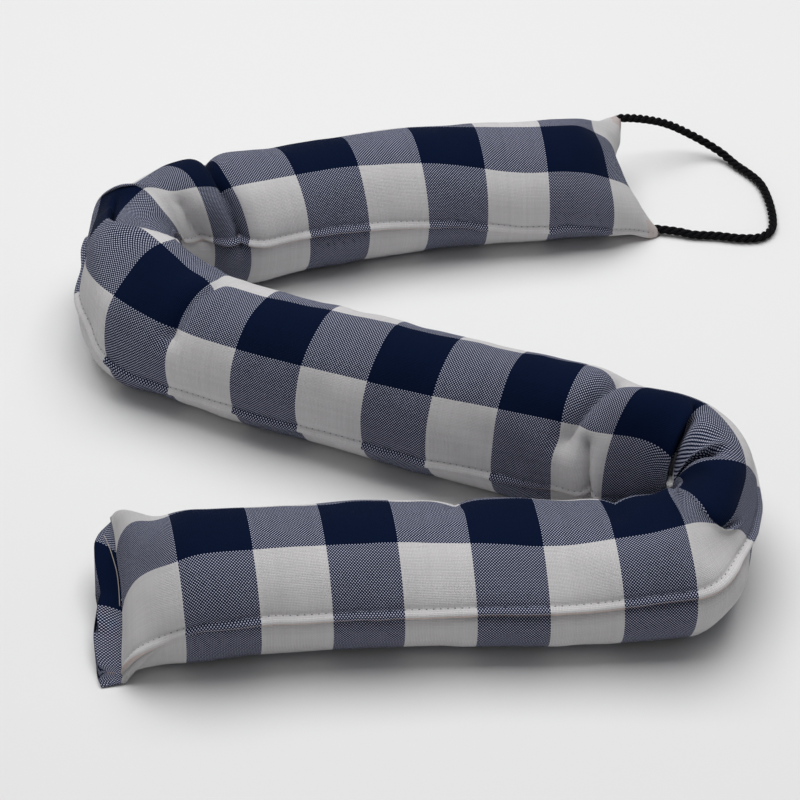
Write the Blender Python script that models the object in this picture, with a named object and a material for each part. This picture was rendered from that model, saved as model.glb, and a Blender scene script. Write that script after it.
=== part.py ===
"""Draught excluder laid in a flat Z: a stuffed tube of check cotton with a twisted cord loop.

Two long narrow panels are sewn together down both edges and filled. One end is closed by a
short hemmed flange, the other by a straight seam that holds the cord's two ends in its
corners. The tube lies on the floor in three runs, joined by two creased hairpins.

Lengths are in millimetres until a mesh is made. "Station" counts woven squares along the
tube from the hemmed end, and "across" counts them round the tube: 0 is the right-hand seam,
seen in the direction of travel, 3 is the left-hand seam and 6 is the right-hand seam again.
"""
import math
from collections import namedtuple

import bmesh
import bpy
import numpy as np

MM = 0.001
OBJECT_NAME = "draught_excluder"

# Cloth and seams
CHECK = 30.0
PANEL_CHECKS = 3.0
SEAM_LIP = 2.0
SEAM_LIP_HALF_WIDTH = 2.1
HIDDEN_SEAM_LIP = 0.5
PINCHED_LEFT = (6.5, 13.5)
PINCHED_RIGHT = (20.5, 23.0)
FLANGE_DEPTH = 9.0
FLANGE_THICKNESS = 3.0
FLOOR_SINK = 0.055

# Where the tube begins, closes and ends, in stations
FLANGE_END = -FLANGE_DEPTH / CHECK
HEM_SEAM = 0.0
HEM_EASE = 1.4
CORD_SEAM = 30.6
CORD_EASE = 1.1
END_ROUNDING = 0.58

# How finely the tube is divided
PANEL_STEPS = 14
OUTLINE_STEPS = 240
ROUTE_STEPS = 24
RUN_STEP = 0.5
BEND_STEP = 0.2
END_STEP = 0.16
HEM_FINE_TO = 1.4
RIGHT_BEND = (8.0, 13.2)
LEFT_BEND = (18.6, 24.6)
CORD_FINE_FROM = 29.2

# Cord
CORD_DIAMETER = 4.0
CORD_STRANDS = 3
CORD_LAY = 11.7
CORD_GROOVE = 0.2
CORD_SIDES = 12
CORD_RING_STEP = 1.45

COTTON_COLOUR = (0.20, 0.23, 0.32, 1.0)
CORD_COLOUR = (0.012, 0.012, 0.014, 1.0)

# Both walls of the tube in plan, its height over the floor, the angle by which the right-hand
# seam has rolled up, the angle by which the section tilts, and how far its middle runs ahead
Section = namedtuple("Section", "station right_x right_y left_x left_y height roll tilt bow")
SECTIONS = (
    Section(FLANGE_END, -115, -179, -120, -103, 54, 32, -15, -1),
    Section(HEM_SEAM, -106, -178, -115, -102, 54, 32, -15, 3),
    Section(1, -80, -179, -91, -119, 54, 12, -4, 0),
    Section(2, -52, -174, -62, -114, 50, 13, 0, 0),
    Section(4, 2, -170, -6, -104, 46, 17, 0, 0),
    Section(6, 57, -168, 50, -99, 42, 23, 0, 0),
    Section(7, 85, -167, 76, -101, 45, 24, 0, 0),
    Section(8, 112, -164, 103, -103, 52, 20, 0, 0),
    Section(9, 135, -136, 108, -102, 55, 24, 0, 0),
    Section(10, 142, -99, 109, -99, 54, 20, 0, 0),
    Section(11, 130, -65, 104, -96, 60, 12, 0, 0),
    Section(12, 106, -56, 80, -97, 64, 13, 0, 0),
    Section(13, 82, -42, 60, -87, 63, 15, 0, 0),
    Section(16, 8, -8, -16, -54, 59, 20, 0, 0),
    Section(19, -68, 29, -98, -14, 57, 22, 0, 0),
    Section(20, -86, 46, -124, 5, 60, 20, 0, 0),
    Section(21, -99, 63, -141, 34, 64, 14, 0, 0),
    Section(22, -97, 69, -142, 83, 64, 8, 0, 0),
    Section(22.5, -90, 71, -130, 94, 60, 6, 0, 0),
    Section(23, -82, 72, -113, 106, 61, 5, 0, 0),
    Section(24, -66, 72, -91, 121, 58, 7, 0, 0),
    Section(25, -40, 82, -63, 135, 54, 8, 0, 0),
    Section(27, 13, 98, -1, 155, 53, 0, 0, 0),
    Section(29, 68, 106, 62, 167, 49, -16, 0, 0),
    Section(30, 98, 112, 90, 174, 48, -10, -12, -3),
    Section(CORD_SEAM, 120, 126, 103, 181, 48, 0, -25, -9),
)

# The main creases: a soft trough from one point of the cloth to another, or a ridge where the
# depth is negative
Fold = namedtuple("Fold", "station across end_station end_across depth width")
FOLDS = (
    Fold(12.35, 0.9, 12.85, 2.2, 6.0, 6.0),
    Fold(12.45, 2.2, 12.3, 3.0, 5.0, 5.5),
    Fold(8.6, 2.2, 8.95, 0.5, 5.0, 6.5),
    Fold(10.2, 1.0, 10.3, 2.4, 5.5, 6.0),
    Fold(11.1, 1.5, 11.0, 2.9, 7.0, 6.0),
    Fold(21.9, 2.3, 20.25, 0.5, 6.0, 7.5),
    Fold(23.85, 2.1, 23.7, 0.05, 6.5, 6.5),
    Fold(22.7, 0.1, 22.6, 0.8, 3.0, 6.0),
    Fold(23.3, 2.3, 23.35, 2.9, -2.0, 7.0),
    Fold(18.95, 2.0, 18.85, 1.0, 2.5, 5.0),
    Fold(4.9, 1.8, 5.0, 2.6, 2.5, 7.0),
)

# Route of the cord's middle, from the raised corner of the end seam to the low one
CORD_ROUTE = (
    (103.6, 180.2, 29.4),
    (115, 185, 26.0),
    (128, 190, 20.0),
    (142, 193, 11.0),
    (154, 190, 4.6),
    (162, 181, 2.1),
    (171, 167, 2.1),
    (174, 152, 2.1),
    (174.5, 137, 2.1),
    (173, 127, 2.1),
    (167.5, 120.5, 2.1),
    (158, 119.5, 2.1),
    (147, 121.5, 2.1),
    (136, 122.5, 2.1),
    (131, 124, 2.4),
    (126, 125.2, 2.5),
    (120.4, 126.3, 2.5),
)


def clear_scene():
    """Remove every object that the new file starts with."""
    for item in list(bpy.data.objects):
        bpy.data.objects.remove(item, do_unlink=True)


def make_collection(name):
    """Make a collection under the scene's own."""
    collection = bpy.data.collections.new(name)
    bpy.context.scene.collection.children.link(collection)
    return collection


def cloth_material(name, colour, roughness):
    """Make a plain matt material."""
    material = bpy.data.materials.new(name)
    material.use_nodes = True
    shader = material.node_tree.nodes["Principled BSDF"]
    shader.inputs["Base Color"].default_value = colour
    shader.inputs["Roughness"].default_value = roughness
    shader.inputs["Metallic"].default_value = 0.0
    return material


def even_slopes(stations, values):
    """Slopes of a curve through the table's rows that never runs past a row's value."""
    steps = np.diff(stations)[:, None]
    chords = np.diff(values, axis=0) / steps
    slopes = np.zeros_like(values)
    slopes[0] = chords[0]
    slopes[-1] = chords[-1]
    before = steps[:-1]
    after = steps[1:]
    weight_before = 2 * after + before
    weight_after = after + 2 * before
    same_way = chords[:-1] * chords[1:] > 0
    safe_before = np.where(same_way, chords[:-1], 1.0)
    safe_after = np.where(same_way, chords[1:], 1.0)
    mean = (weight_before + weight_after) / (weight_before / safe_before + weight_after / safe_after)
    slopes[1:-1] = np.where(same_way, mean, 0.0)
    return slopes


TABLE_STATIONS = np.array([row.station for row in SECTIONS], dtype=float)
TABLE_VALUES = np.array([row[1:] for row in SECTIONS], dtype=float)
TABLE_SLOPES = even_slopes(TABLE_STATIONS, TABLE_VALUES)


def section_at(station):
    """Read the table at any station, as a row of its own."""
    last = len(TABLE_STATIONS) - 2
    index = int(np.clip(np.searchsorted(TABLE_STATIONS, station) - 1, 0, last))
    span = TABLE_STATIONS[index + 1] - TABLE_STATIONS[index]
    t = (station - TABLE_STATIONS[index]) / span
    start = (2 * t**3 - 3 * t**2 + 1) * TABLE_VALUES[index]
    start_slope = (t**3 - 2 * t**2 + t) * span * TABLE_SLOPES[index]
    end = (3 * t**2 - 2 * t**3) * TABLE_VALUES[index + 1]
    end_slope = (t**3 - t**2) * span * TABLE_SLOPES[index + 1]
    return Section(station, *(start + start_slope + end + end_slope))


def fullness(station):
    """How far the filling has rounded the tube out: 0 at a closing seam, 1 away from it."""
    from_hem = np.clip((station - HEM_SEAM) / HEM_EASE, 0.0, 1.0)
    from_cord = np.clip((CORD_SEAM - station) / CORD_EASE, 0.0, 1.0)
    nearest = min(from_hem, from_cord)
    return (1.0 - (1.0 - nearest) ** 2) ** END_ROUNDING


def section_height(section):
    """Height of the section over the floor, thin where the two panels meet."""
    return FLANGE_THICKNESS + (section.height - FLANGE_THICKNESS) * fullness(section.station)


def outline(section):
    """Outline of a section as sideways and upward places, from the right-hand seam over the top."""
    tilt = math.radians(section.tilt)
    half_width = 0.5 * math.hypot(section.right_x - section.left_x, section.right_y - section.left_y)
    half_width /= math.cos(tilt)
    height = section_height(section)
    sink = FLOOR_SINK * height
    half_height = 0.5 * (height + sink)
    turn = np.linspace(0.0, 2.0 * math.pi, OUTLINE_STEPS + 1) + math.radians(section.roll)
    side = half_width * np.cos(turn)
    rise = half_height * np.sin(turn)
    tilted_side = side * math.cos(tilt) - rise * math.sin(tilt)
    tilted_rise = side * math.sin(tilt) + rise * math.cos(tilt)
    lifted = tilted_rise - tilted_rise.min() - sink
    return np.stack([tilted_side, np.maximum(lifted, 0.0)], axis=1)


def across_places():
    """Places round the tube that carry a vertex, closer together at the seams."""
    lip = SEAM_LIP_HALF_WIDTH / CHECK
    inner = [PANEL_CHECKS * step / PANEL_STEPS for step in range(1, PANEL_STEPS)]
    panel = [0.0, lip] + inner + [PANEL_CHECKS - lip]
    return np.array(panel + [PANEL_CHECKS + place for place in panel])


ACROSS = across_places()


def seam_lip(station, across):
    """How far the sewn edges stand out, less where a hairpin pinches them inside."""
    if across not in (0.0, PANEL_CHECKS):
        return 0.0
    start, end = PINCHED_RIGHT if across == 0.0 else PINCHED_LEFT
    if start < station < end:
        return HIDDEN_SEAM_LIP
    return SEAM_LIP


def fold_depth(station, across):
    """Depth of all the creases together at one point of the cloth."""
    total = 0.0
    signed = across - 2 * PANEL_CHECKS if across > 1.5 * PANEL_CHECKS else across
    for fold in FOLDS:
        along = np.array([fold.end_station - fold.station, fold.end_across - fold.across])
        offset = np.array([station - fold.station, signed - fold.across])
        share = float(np.clip(offset @ along / (along @ along), 0.0, 1.0))
        away = CHECK * float(np.linalg.norm(offset - share * along))
        total += fold.depth * math.exp(-((away / fold.width) ** 2))
    return total


def ring(station):
    """The tube's vertices at one station, in millimetres."""
    section = section_at(station)
    shape = outline(section)
    lengths = np.concatenate([[0.0], np.cumsum(np.linalg.norm(np.diff(shape, axis=0), axis=1))])
    wanted = ACROSS / (2 * PANEL_CHECKS) * lengths[-1]
    side = np.interp(wanted, lengths, shape[:, 0])
    rise = np.interp(wanted, lengths, shape[:, 1])
    ahead = np.roll(np.stack([side, rise], axis=1), -1, axis=0)
    behind = np.roll(np.stack([side, rise], axis=1), 1, axis=0)
    tangent = ahead - behind
    tangent /= np.linalg.norm(tangent, axis=1)[:, None]
    push = np.array([seam_lip(station, place) - fold_depth(station, place) for place in ACROSS])
    side = side + tangent[:, 1] * push
    rise = np.maximum(rise - tangent[:, 0] * push, 0.0)
    right = np.array([section.right_x - section.left_x, section.right_y - section.left_y])
    half_width = 0.5 * np.linalg.norm(right)
    right /= 2.0 * half_width
    travel = np.array([-right[1], right[0]])
    middle = 0.5 * np.array([section.right_x + section.left_x, section.right_y + section.left_y])
    bow = section.bow * (1.0 - np.clip(np.abs(side) / half_width, 0.0, 1.0) ** 2)
    plan = middle + side[:, None] * right + bow[:, None] * travel
    return np.column_stack([plan, rise])


def station_list():
    """Stations that carry a ring, closer together at the ends and in the hairpins."""
    spans = (
        (FLANGE_END, HEM_SEAM, -FLANGE_END),
        (HEM_SEAM, HEM_FINE_TO, END_STEP),
        (HEM_FINE_TO, RIGHT_BEND[0], RUN_STEP),
        (*RIGHT_BEND, BEND_STEP),
        (RIGHT_BEND[1], LEFT_BEND[0], RUN_STEP),
        (*LEFT_BEND, BEND_STEP),
        (LEFT_BEND[1], CORD_FINE_FROM, RUN_STEP),
        (CORD_FINE_FROM, CORD_SEAM, END_STEP),
    )
    stations = []
    for start, end, step in spans:
        count = max(1, round((end - start) / step))
        stations.extend(start + (end - start) * index / count for index in range(count))
    stations.append(CORD_SEAM)
    return stations


def skin_rings(rings, closes_as_strip):
    """Join rings of vertices into one closed body, its ends closed by a strip or one face."""
    mesh = bmesh.new()
    rows = [[mesh.verts.new(point) for point in points] for points in rings]
    count = len(rows[0])
    for row, following in zip(rows, rows[1:]):
        for index in range(count):
            after = (index + 1) % count
            mesh.faces.new((row[index], row[after], following[after], following[index]))
    for row in (rows[0], rows[-1]):
        if not closes_as_strip:
            mesh.faces.new(row)
            continue
        half = count // 2
        mesh.faces.new((row[0], row[1], row[-1]))
        for index in range(1, half - 1):
            mesh.faces.new((row[index], row[index + 1], row[-index - 1], row[-index]))
        mesh.faces.new((row[half - 1], row[half], row[half + 1]))
    bmesh.ops.recalc_face_normals(mesh, faces=mesh.faces)
    return mesh


def place_mesh(mesh, name, material, collection):
    """Turn a bmesh into a smooth shaded object of the same name."""
    data = bpy.data.meshes.new(name)
    mesh.to_mesh(data)
    mesh.free()
    data.materials.append(material)
    data.shade_smooth()
    item = bpy.data.objects.new(name, data)
    collection.objects.link(item)
    return item


def smooth_route(points, spacing):
    """Evenly spaced points of one smooth curve through the route's own points."""
    route = np.array(points, dtype=float)
    padded = np.vstack([2 * route[0] - route[1], route, 2 * route[-1] - route[-2]])
    fine = []
    samples = np.linspace(0.0, 1.0, ROUTE_STEPS, endpoint=False)[:, None]
    for before, start, end, after in zip(padded, padded[1:], padded[2:], padded[3:]):
        start_slope = 0.5 * (end - before)
        end_slope = 0.5 * (after - start)
        cubic = (2 * samples**3 - 3 * samples**2 + 1) * start
        cubic = cubic + (samples**3 - 2 * samples**2 + samples) * start_slope
        cubic = cubic + (3 * samples**2 - 2 * samples**3) * end
        cubic = cubic + (samples**3 - samples**2) * end_slope
        fine.append(cubic)
    fine = np.vstack(fine + [route[-1:]])
    lengths = np.concatenate([[0.0], np.cumsum(np.linalg.norm(np.diff(fine, axis=0), axis=1))])
    count = round(lengths[-1] / spacing)
    even = np.linspace(0.0, lengths[-1], count + 1)
    line = np.column_stack([np.interp(even, lengths, fine[:, axis]) for axis in range(3)])
    return line, even


def cord_rings():
    """Rings of the twisted cord, lobed once for each strand and turned along the lay."""
    line, distances = smooth_route(CORD_ROUTE, CORD_RING_STEP)
    line[:, 2] = np.maximum(line[:, 2], 0.5 * CORD_DIAMETER)
    tangents = np.gradient(line, axis=0)
    tangents /= np.linalg.norm(tangents, axis=1)[:, None]
    side = np.cross(tangents[0], (0.0, 0.0, 1.0))
    rings = []
    for point, tangent, distance in zip(line, tangents, distances):
        side = side - (side @ tangent) * tangent
        side /= np.linalg.norm(side)
        up = np.cross(side, tangent)
        points = []
        for index in range(CORD_SIDES):
            angle = 2 * math.pi * index / CORD_SIDES
            lobe = abs(math.cos(0.5 * CORD_STRANDS * angle))
            radius = 0.5 * CORD_DIAMETER * (1 - CORD_GROOVE * (1 - lobe))
            turned = angle + 2 * math.pi * distance / CORD_LAY
            points.append(point + radius * (math.cos(turned) * side + math.sin(turned) * up))
        rings.append(points)
    return rings


def middle_of_floor(rings):
    """Middle of the tube's box in plan, which becomes the origin."""
    points = np.vstack(rings)
    return np.array([*(0.5 * (points.min(axis=0) + points.max(axis=0)))[:2], 0.0])


def build():
    """Build the cover and its cord around the origin, standing on the floor."""
    clear_scene()
    collection = make_collection(OBJECT_NAME)
    cotton = cloth_material("check_cotton", COTTON_COLOUR, 0.9)
    braid = cloth_material("black_cord", CORD_COLOUR, 0.75)
    cover = [ring(station) for station in station_list()]
    shift = middle_of_floor(cover)
    cover_points = [(points - shift) * MM for points in cover]
    place_mesh(skin_rings(cover_points, True), "cover", cotton, collection)
    cord_points = [(np.array(points) - shift) * MM for points in cord_rings()]
    place_mesh(skin_rings(cord_points, False), "cord_loop", braid, collection)


build()
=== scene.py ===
"""Looks of a draught excluder: a stuffed tube of check cotton laid in a Z, with a cord loop.

The cover is lofted along the tube from a short table of sections, with its seams, creases and
puckers raised in the cloth.
"""
import math
from collections import namedtuple

import bmesh
import bpy
import numpy as np
from bpy.props import FloatProperty, FloatVectorProperty, IntProperty, PointerProperty
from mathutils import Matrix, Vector


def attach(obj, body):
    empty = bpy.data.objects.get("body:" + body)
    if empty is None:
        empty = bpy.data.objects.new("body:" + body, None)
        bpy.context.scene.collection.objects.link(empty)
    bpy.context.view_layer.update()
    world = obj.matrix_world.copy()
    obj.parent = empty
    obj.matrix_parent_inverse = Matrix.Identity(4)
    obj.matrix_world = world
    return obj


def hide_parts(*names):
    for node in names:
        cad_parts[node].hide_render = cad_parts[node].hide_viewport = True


bl_info = {
    "name": "Draught Excluder",
    "version": (1, 0, 0),
    "blender": (4, 5, 0),
    "location": "View3D > Sidebar > Excluder",
    "description": "Makes a stuffed check cotton draught excluder with its seams, stitches and cord",
    "category": "Object",
}

MM = 0.001
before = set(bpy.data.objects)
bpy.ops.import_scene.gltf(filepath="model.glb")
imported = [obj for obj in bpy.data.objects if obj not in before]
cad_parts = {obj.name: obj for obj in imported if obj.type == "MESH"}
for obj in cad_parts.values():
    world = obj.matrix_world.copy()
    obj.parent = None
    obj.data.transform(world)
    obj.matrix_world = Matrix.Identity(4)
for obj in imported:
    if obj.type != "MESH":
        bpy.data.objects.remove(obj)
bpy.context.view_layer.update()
BODY = "root"

# Cloth: the size of a woven square in millimetres, squares across a panel, the hemmed flange in
# millimetres, and the stations of the flange's edge and of both closing seams
CHECK = 30.0
PANEL_CHECKS = 3.0
FLANGE_DEPTH = 9.0
FLANGE_THICKNESS = 2.4
FLANGE_END = -FLANGE_DEPTH / CHECK
HEM_SEAM = 0.0
CORD_SEAM = 30.6
# Squares in which the tube fills out from either seam, how roundly it does so, and how far it is
# pressed flat on the floor as a share of its height
HEM_EASE = 1.4
CORD_EASE = 1.1
END_ROUNDING = 0.58
FLOOR_SINK = 0.055
# Woven squares of cloth in the first full square at either end, where it climbs steeply, and how
# they crowd towards the closing seam
END_CLIMB = 2.1
END_CLIMB_POWER = 0.54
# How finely a section's outline, the filled shape's rings and the cloth are divided
OUTLINE_STEPS = 240
RING_PLACES = 360
FLANGE_ROWS = 8
ROWS_PER_CHECK = 18
CLOTH_STEP = 1.9

# How the filled cloth settles: lengths of a woven square in the cloth, how finely the cloth is
# divided, for how long it moves, below which height it lies on the floor and is held, over how
# many squares a move counts as drift of the whole tube, which is left out, over how many rows
# the rest is evened out, and how far it may go
CLOTH_CHECK_ALONG = 27.6
CLOTH_CHECK_ROUND = 29.6
SIM_ROWS_PER_CHECK = 8
SIM_COLUMNS = 48
SIM_FRAMES = 12
SIM_PRESSURE = 1.5
SIM_HELD_ENDS = 0.3
SIM_HELD_BELOW = 0.4
SIM_DRIFT = 0.9
SIM_BLUR = 1.4
SIM_CAP = 2.5

# Middle of the tube's box in plan, in the same millimetres as the tables
FLOOR_MIDDLE = (-0.393, 1.043, 0.0)

# Both walls of the tube in plan, its height over the floor, the angle by which the right-hand
# seam has rolled up, the angle by which the section tilts, and how far its middle runs ahead
Section = namedtuple("Section", "station right_x right_y left_x left_y height roll tilt bow")
SECTIONS = (
    Section(FLANGE_END, -115, -179, -120, -103, 54, 32, -15, -1),
    Section(HEM_SEAM, -106, -178, -115, -102, 54, 32, -15, 3),
    Section(1, -80, -179, -91, -119, 54, 12, -4, 0),
    Section(2, -52, -174, -62, -114, 50, 13, 0, 0),
    Section(4, 2, -170, -6, -104, 46, 17, 0, 0),
    Section(6, 57, -168, 50, -99, 42, 23, 0, 0),
    Section(7, 85, -167, 76, -101, 45, 24, 0, 0),
    Section(8, 112, -164, 103, -103, 52, 20, 0, 0),
    Section(9, 135, -136, 108, -102, 55, 24, 0, 0),
    Section(10, 142, -99, 109, -99, 54, 20, 0, 0),
    Section(11, 130, -65, 104, -96, 60, 12, 0, 0),
    Section(12, 106, -56, 80, -97, 64, 13, 0, 0),
    Section(13, 82, -42, 60, -87, 63, 15, 0, 0),
    Section(16, 8, -8, -16, -54, 59, 20, 0, 0),
    Section(19, -68, 29, -98, -14, 57, 22, 0, 0),
    Section(20, -86, 46, -124, 5, 60, 20, 0, 0),
    Section(21, -99, 63, -141, 34, 64, 14, 0, 0),
    Section(22, -97, 69, -142, 83, 64, 8, 0, 0),
    Section(22.5, -90, 71, -130, 94, 60, 6, 0, 0),
    Section(23, -82, 72, -113, 106, 61, 5, 0, 0),
    Section(24, -66, 72, -91, 121, 58, 7, 0, 0),
    Section(25, -40, 82, -63, 135, 54, 8, 0, 0),
    Section(27, 13, 98, -1, 155, 53, 0, 0, 0),
    Section(29, 68, 106, 62, 167, 49, -16, 0, 0),
    Section(30, 98, 112, 90, 174, 48, -10, -12, -3),
    Section(CORD_SEAM, 120, 126, 103, 181, 48, 0, -25, -9),
)

# Where the cloth has crept over the filling: the mark that has moved, how far round it the move
# is felt along and round the tube, and the move along and round, all in woven squares
Creep = namedtuple("Creep", "station across reach_along reach_round along round")
CREEPS = (
    Creep(21.1, 1.1, 0.8, 1.2, 0.2, 0.4),
    Creep(21.4, 0.35, 0.9, 0.5, -1.0, 0.1),
    Creep(20.9, 3.0, 0.7, 0.6, 0.0, -0.3),
    Creep(6.5, 0.95, 1.2, 0.7, 0.0, -0.14),
    Creep(9.6, 0.9, 0.8, 0.75, 0.0, -0.4),
    Creep(9.0, 0.95, 0.5, 0.5, -0.2, -0.22),
    Creep(9.15, 1.9, 0.9, 0.75, -0.8, 0.0),
    Creep(10.0, 1.5, 0.6, 0.7, -0.3, 0.0),
    Creep(10.7, 2.1, 0.6, 0.5, 0.0, 0.3),
    Creep(-0.3, 2.1, 0.3, 1.0, 0.0, 0.35),
    Creep(-0.3, 0.8, 0.3, 0.6, 0.0, 0.12),
)

# Creases from one point of the cloth to another, in woven squares, with the depth, the width
# and how far both banks close over the crease as a share of their distance from it. A lean of
# 1 has the bank at the left of that direction lap over the other one, and -1 the right bank. One
# that is wide and shallow is a soft dip, and one that is deeper has a sharp core.
Crease = namedtuple("Crease", "station across end_station end_across depth width close lean")
CREASES = (
    Crease(12.35, 0.9, 12.85, 2.2, 6.5, 6.0, 0.3, 0),
    Crease(12.45, 2.2, 12.3, 3.0, 6.0, 5.0, 0.3, 0),
    Crease(8.1, 2.05, 9.0, 0.78, 6.5, 6.0, 0.6, -1),
    Crease(10.3, 1.4, 10.65, 2.4, 8.0, 5.5, 0.5, -1),
    Crease(11.1, 1.45, 11.0, 2.9, 9.0, 6.5, 0.4, -1),
    Crease(21.35, 1.35, 20.1, 0.65, 7.0, 6.0, 1.0, -1),
    Crease(23.85, 2.1, 23.7, 0.05, 7.5, 6.5, 0.4, 0),
    Crease(22.75, 0.05, 22.6, 0.7, 4.0, 5.0, 0.2, 0),
    Crease(23.3, 2.3, 23.35, 2.9, -2.0, 7.0, 0.0, 0),
    Crease(19.0, 2.1, 18.85, 0.8, 5.0, 5.0, 0.3, 0),
    Crease(21.75, 1.4, 22.1, 2.7, 6.0, 17.5, 0.0, 0),
    Crease(0.3, -0.35, 0.7, -0.25, 4.0, 12.0, 0.0, 0),
    Crease(20.0, 3.5, 20.9, 3.5, -3.5, 12.0, 0.0, 0),
    Crease(8.7, -0.2, 9.8, 0.1, -2.5, 14.0, 0.0, 0),
    Crease(4.9, 1.8, 5.0, 2.6, 2.5, 7.0, 0.2, 0),
    Crease(7.15, 1.4, 7.25, 2.2, 2.5, 5.0, 0.2, 0),
)
# Share of the depth that is in a crease's sharp core, the depth from which there is one and the
# core's width, both as shares of the crease's width
CREASE_CORE = 0.4
CREASE_CORE_FROM = 0.35
CREASE_CORE_WIDTH = 0.35
# How soft the edge of a lap is, and how far it bulges and reaches over, as shares of the depth
LAP_EDGE = 1.2
LAP_BULGE = 0.25
LAP_REACH = 0.35

# Profile of a sewn edge: distance from the seam towards the top panel, how far the cloth stands
# out there and how far it droops towards the bottom panel
Lip = namedtuple("Lip", "distance out droop")
LIP_PROFILE = (
    Lip(-4.0, 0.0, 0.0),
    Lip(-2.6, -0.3, 0.0),
    Lip(-1.7, -0.75, 0.2),
    Lip(-1.1, -0.5, 0.75),
    Lip(-0.7, 0.6, 1.0),
    Lip(-0.35, 1.5, 0.95),
    Lip(0.0, 1.9, 0.7),
    Lip(0.4, 1.75, 0.5),
    Lip(0.9, 1.25, 0.35),
    Lip(1.4, 0.45, 0.15),
    Lip(1.8, -0.2, 0.0),
    Lip(2.3, -0.4, 0.0),
    Lip(3.0, -0.2, 0.0),
    Lip(4.2, 0.0, 0.0),
)
# How wide a lip is on each side of its seam, and the length of cloth in it that the plain
# distance from the seam leaves out
LIP_WIDTH = 2.4
LIP_EXTRA = 1.1
# Stations over which the lips rise after the hem and end before the end seam
LIP_RISE_FROM = -0.05
LIP_RISE_TO = 0.12
LIP_FALL = 0.25
# Stations inside the hairpins between which the left-hand or the right-hand lip is pressed flat,
# the share of it that still stands there and how gently that changes
PINCHED_LEFT = (6.5, 13.5)
PINCHED_RIGHT = (20.5, 23.0)
PINCHED_SHARE = 0.35
PINCH_EASE = 0.5

# Soft ripples of the filled cloth and puckers beside the seams: their share of the height, their
# length in woven squares, their width in columns of points and the seed of their noise
Ripple = namedtuple("Ripple", "share length columns seed")
RIPPLES = (
    Ripple(1.0, 0.8, 14, 3),
    Ripple(0.5, 0.33, 7, 4),
)
PUCKERS = (Ripple(1.0, 0.24, 40, 5),)
PUCKER_REACH = 9.0
RELIEF_EASE = 0.4

# Waves of the hem flange's free edge: place round the tube, how far it runs out and how far up,
# and how strongly they gather at the edge
Wave = namedtuple("Wave", "across out up")
HEM_WAVES = (
    Wave(0.0, -5.5, 0.0),
    Wave(0.1, -2.6, 0.3),
    Wave(0.25, -1.0, 0.6),
    Wave(0.55, -0.2, -0.5),
    Wave(0.9, -1.6, 0.8),
    Wave(1.25, -2.8, -0.9),
    Wave(1.6, -1.2, 0.3),
    Wave(1.9, -0.2, 0.9),
    Wave(2.1, -1.2, 0.2),
    Wave(2.3, -4.2, -0.3),
    Wave(2.5, -7.2, -0.8),
    Wave(3.0, -8.4, -0.8),
)
HEM_WAVE_POWER = 1.3

# Waves of the end seam's edge from its low corner to its raised one, in the same terms, and how
# many squares from the seam they are felt
END_WAVES = (
    Wave(0.0, 0.4, 0.3),
    Wave(0.15, 0.3, 0.2),
    Wave(0.6, -1.0, 0.6),
    Wave(1.0, 0.3, -0.4),
    Wave(1.5, 0.2, 0.5),
    Wave(2.1, -0.6, 0.2),
    Wave(2.45, 2.0, 0.3),
    Wave(2.75, 2.6, 1.4),
    Wave(2.9, 1.6, 2.6),
    Wave(3.0, 0.6, 2.8),
)
END_WAVE_REACH = 0.5

# The thread end that hangs loose over the hem, by the cloth marks that it crosses and its height
# over them, and where the stitches of the hem's seam show
Mark = namedtuple("Mark", "station across lift")
LOOSE_THREAD = (
    Mark(-0.2, 2.1, 0.3),
    Mark(-0.13, 2.0, 0.9),
    Mark(-0.07, 1.85, 1.0),
    Mark(-0.04, 1.6, 0.8),
    Mark(-0.02, 1.35, 0.5),
    Mark(-0.02, 1.0, 0.2),
)
HEM_STITCHED = (0.15, 1.2)
# How finely the loose thread is divided, and its radius as a share of a stitch's thickness
LOOSE_STEP = 0.5
LOOSE_SIDES = 8
LOOSE_RADIUS = 0.4

# The stitches along both edges: their distance from the seam, how far they stand out as a share
# of their thickness, between which stations they are sewn, and how much they differ in size
STITCH_GAP = 1.8
STITCH_LIFT = 0.1
EDGE_SEWN = (0.1, CORD_SEAM - 0.05)
STITCH_SIZES = (0.85, 1.15)
STITCH_SEED = 7

# How far the cloth bulges over the cord that is sewn into each corner, and how far round it
CORNER_BULGE = 1.9
CORNER_REACH = 6.0

# Route of the cord's middle, from the raised corner of the end seam to the low one
CORD_ROUTE = (
    (102.2, 179.4, 28.2),
    (104.4, 180.5, 29.2),
    (115, 185, 26.0),
    (128, 190, 20.0),
    (142, 193, 11.0),
    (154, 190, 4.6),
    (162, 181, 2.1),
    (171, 167, 2.1),
    (174, 152, 2.1),
    (174.5, 137, 2.1),
    (173, 127, 2.1),
    (167.5, 120.5, 2.1),
    (158, 119.5, 2.1),
    (147, 121.5, 2.1),
    (136, 122.5, 2.1),
    (131, 124, 2.4),
    (126, 125.2, 2.5),
    (120.4, 126.3, 2.5),
    (117.0, 127.0, 2.6),
)
# How finely the route is divided while it is measured and in the rope
ROUTE_STEPS = 24
ROPE_STEP = 0.6
# A strand: how far its middle is from the cord's, as a share of the diameter, how much it swells,
# its sides, its plies and the length in which a ply goes once round it
STRAND_REACH = 0.28
STRAND_SWELL = 0.06
STRAND_SIDES = 10
STRAND_PLIES = 4.0
PLY_LAY = 1.1

# The weave: middle and half width of a panel's navy row, how flat a yarn is, how far it dips
# beside a crossing, and how sharply a pale yarn stands out among navy ones
NAVY_ROW = 1.45
NAVY_ROW_HALF = 0.5
YARN_FLATNESS = 0.6
YARN_DIP = 0.45
DOT_CONTRAST = 2.6
DOT_LEVEL = -1.15
WARP_SEED = 11.0
WEFT_SEED = 37.0
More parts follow.
